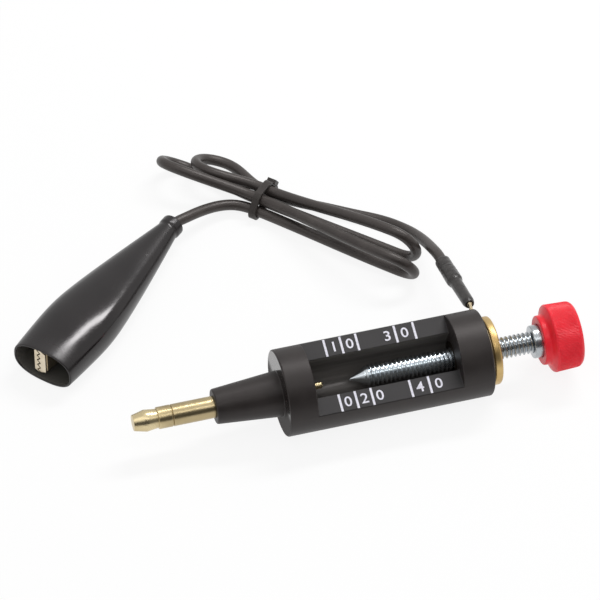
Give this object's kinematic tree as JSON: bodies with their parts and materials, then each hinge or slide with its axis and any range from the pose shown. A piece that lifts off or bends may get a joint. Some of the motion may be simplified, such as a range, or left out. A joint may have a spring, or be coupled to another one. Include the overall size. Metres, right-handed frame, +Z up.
{
  "type": "spark plug tester",
  "caption": "Adjustable spark plug tester: insulating body with spark window and scale, brass plug terminal, pointed screw with ribbed knob, and a tied earth lead with an insulated clip.",
  "frame": {"origin": "on the table under the middle of the tester's length and width, measured without the lead and clip", "axes": "+X along the tester towards the knob, +Y to the rear where the lead lies, +Z up"},
  "size_m": [0.1546, 0.1222, 0.025],
  "materials": {
    "body_plastic": "semi-matte moulded black",
    "brass": "turned",
    "zinc_steel": "bright zinc plated",
    "knob_plastic": "moulded red",
    "shrink_sleeve": "shrunk black tubing",
    "conductor": "bare copper",
    "lead_pvc": "satin black insulation",
    "tie_plastic": "black nylon",
    "boot_pvc": "soft glossy black",
    "plated_steel": "nickel plated sheet"
  },
  "bodies": {
    "tester": {"housing": "body_plastic", "terminal_pin": "brass", "fixed_electrode": "brass", "end_bush": "brass", "ring_terminal": "brass", "terminal_sleeve": "shrink_sleeve", "terminal_core": "conductor", "lead_tester_end": "lead_pvc", "lead_hank": "lead_pvc", "lead_clip_end": "lead_pvc", "cable_tie": "tie_plastic", "clip_boot": "boot_pvc", "fixed_jaw": "plated_steel", "jaw_rivet": "plated_steel", "jaw_spring": "zinc_steel", "clip_core": "conductor"},
    "screw": {"adjusting_screw": "zinc_steel"},
    "knob": {"knob": "knob_plastic"},
    "jaw": {"moving_jaw": "plated_steel"}
  },
  "joints": [
    {"name": "screw_travel", "type": "slide", "parent": "tester", "child": "screw", "axis": [1, 0, 0], "range_m": [-0.00763, 0.02033]},
    {"name": "knob_turn", "type": "hinge", "parent": "screw", "child": "knob", "pos_m": [0.06, 0, 0.0125], "axis": [1, 0, 0], "range_deg": [-2160, 5760]},
    {"name": "jaw_open", "type": "hinge", "parent": "tester", "child": "jaw", "pos_m": [-0.06833, 0.04991, 0.0069], "axis": [0, 0, 1], "range_deg": [0, 18], "stiffness_Nm_per_rad": 0.2, "springref_deg": -20.05, "deforming": ["jaw_spring"]}
  ],
  "couplings": [
    {"joint": "screw_travel", "follows": "knob_turn", "m_per_rad": 0.00020213}
  ]
}
